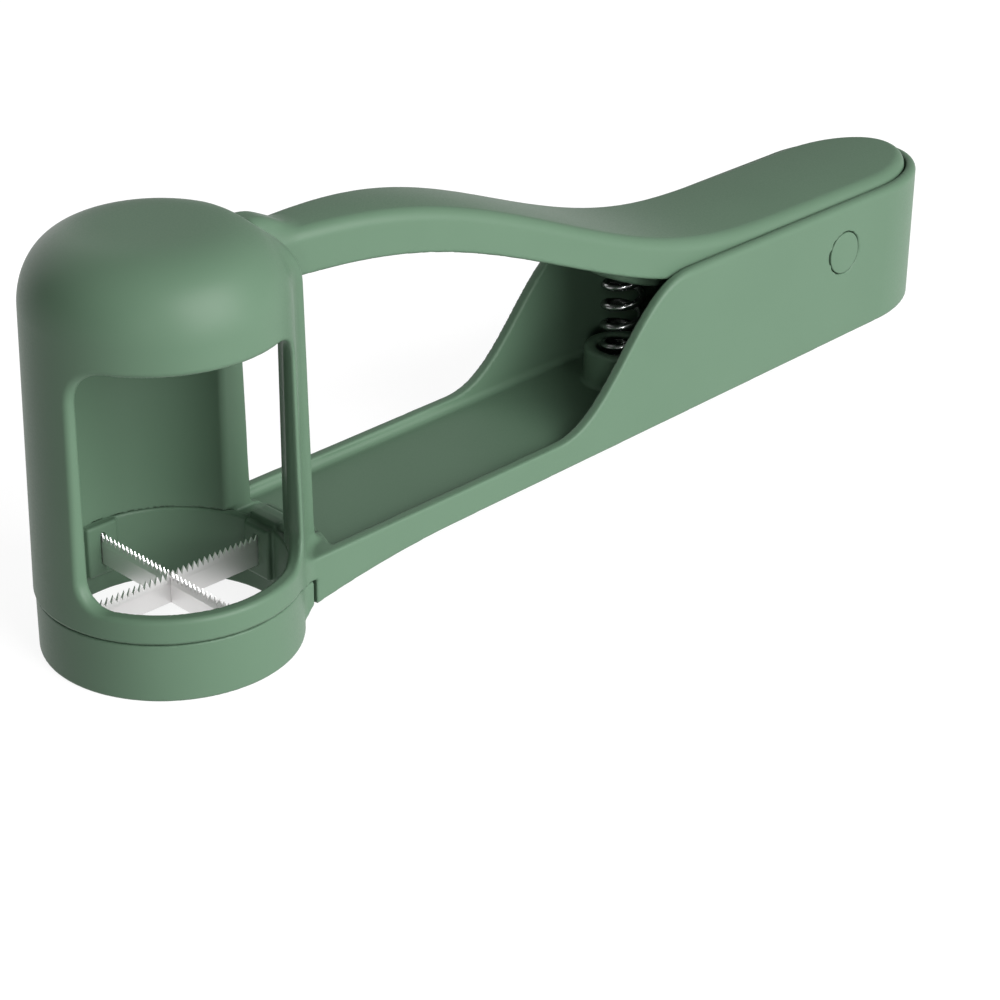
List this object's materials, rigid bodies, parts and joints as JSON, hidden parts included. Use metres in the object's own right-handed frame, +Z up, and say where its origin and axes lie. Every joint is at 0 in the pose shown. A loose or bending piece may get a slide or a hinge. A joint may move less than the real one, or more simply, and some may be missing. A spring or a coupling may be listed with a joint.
{
  "type": "grape cutter",
  "caption": "Hand lever cutter: a sprung lever drives a round pusher down a windowed, domed head and through crossed saw-toothed blades held in a pull-off ring.",
  "frame": {"origin": "the centre of the mouth of the blade ring, on the plane of the ring's foot", "axes": "+Z up along the head's axis, +X from the head along the handle, and the window faces -Y and -X"},
  "size_m": [0.1895, 0.04, 0.0651],
  "materials": {
    "sage_plastic": "satin moulded",
    "blade_steel": "ground and stamped stainless",
    "pin_steel": "drawn stainless",
    "spring_steel": "black coated spring wire"
  },
  "bodies": {
    "handle": {"main_body": "sage_plastic", "pivot_sleeve": "sage_plastic", "pivot_stud": "sage_plastic", "return_spring": "spring_steel"},
    "lever": {"press_lever": "sage_plastic", "pusher_pin": "pin_steel"},
    "plunger": {"pusher": "sage_plastic"},
    "cutter": {"blade_ring": "sage_plastic", "long_blade": "blade_steel", "cross_blade": "blade_steel"}
  },
  "joints": [
    {"name": "lever_press", "type": "hinge", "parent": "handle", "child": "lever", "pos_m": [0.1396, 0, 0.0261], "axis": [0, -1, 0], "range_deg": [0, 16.85], "stiffness_Nm_per_rad": 2.5, "springref_deg": -5.73, "deforming": ["return_spring"]},
    {"name": "pusher_slide", "type": "slide", "parent": "handle", "child": "plunger", "axis": [0, 0, -1], "range_m": [0, 0.0413]},
    {"name": "ring_release", "type": "slide", "parent": "handle", "child": "cutter", "axis": [0, 0, -1], "range_m": [0, 0.02]}
  ],
  "couplings": [
    {"joint": "pusher_slide", "follows": "lever_press", "m_per_rad": 0.1404}
  ]
}
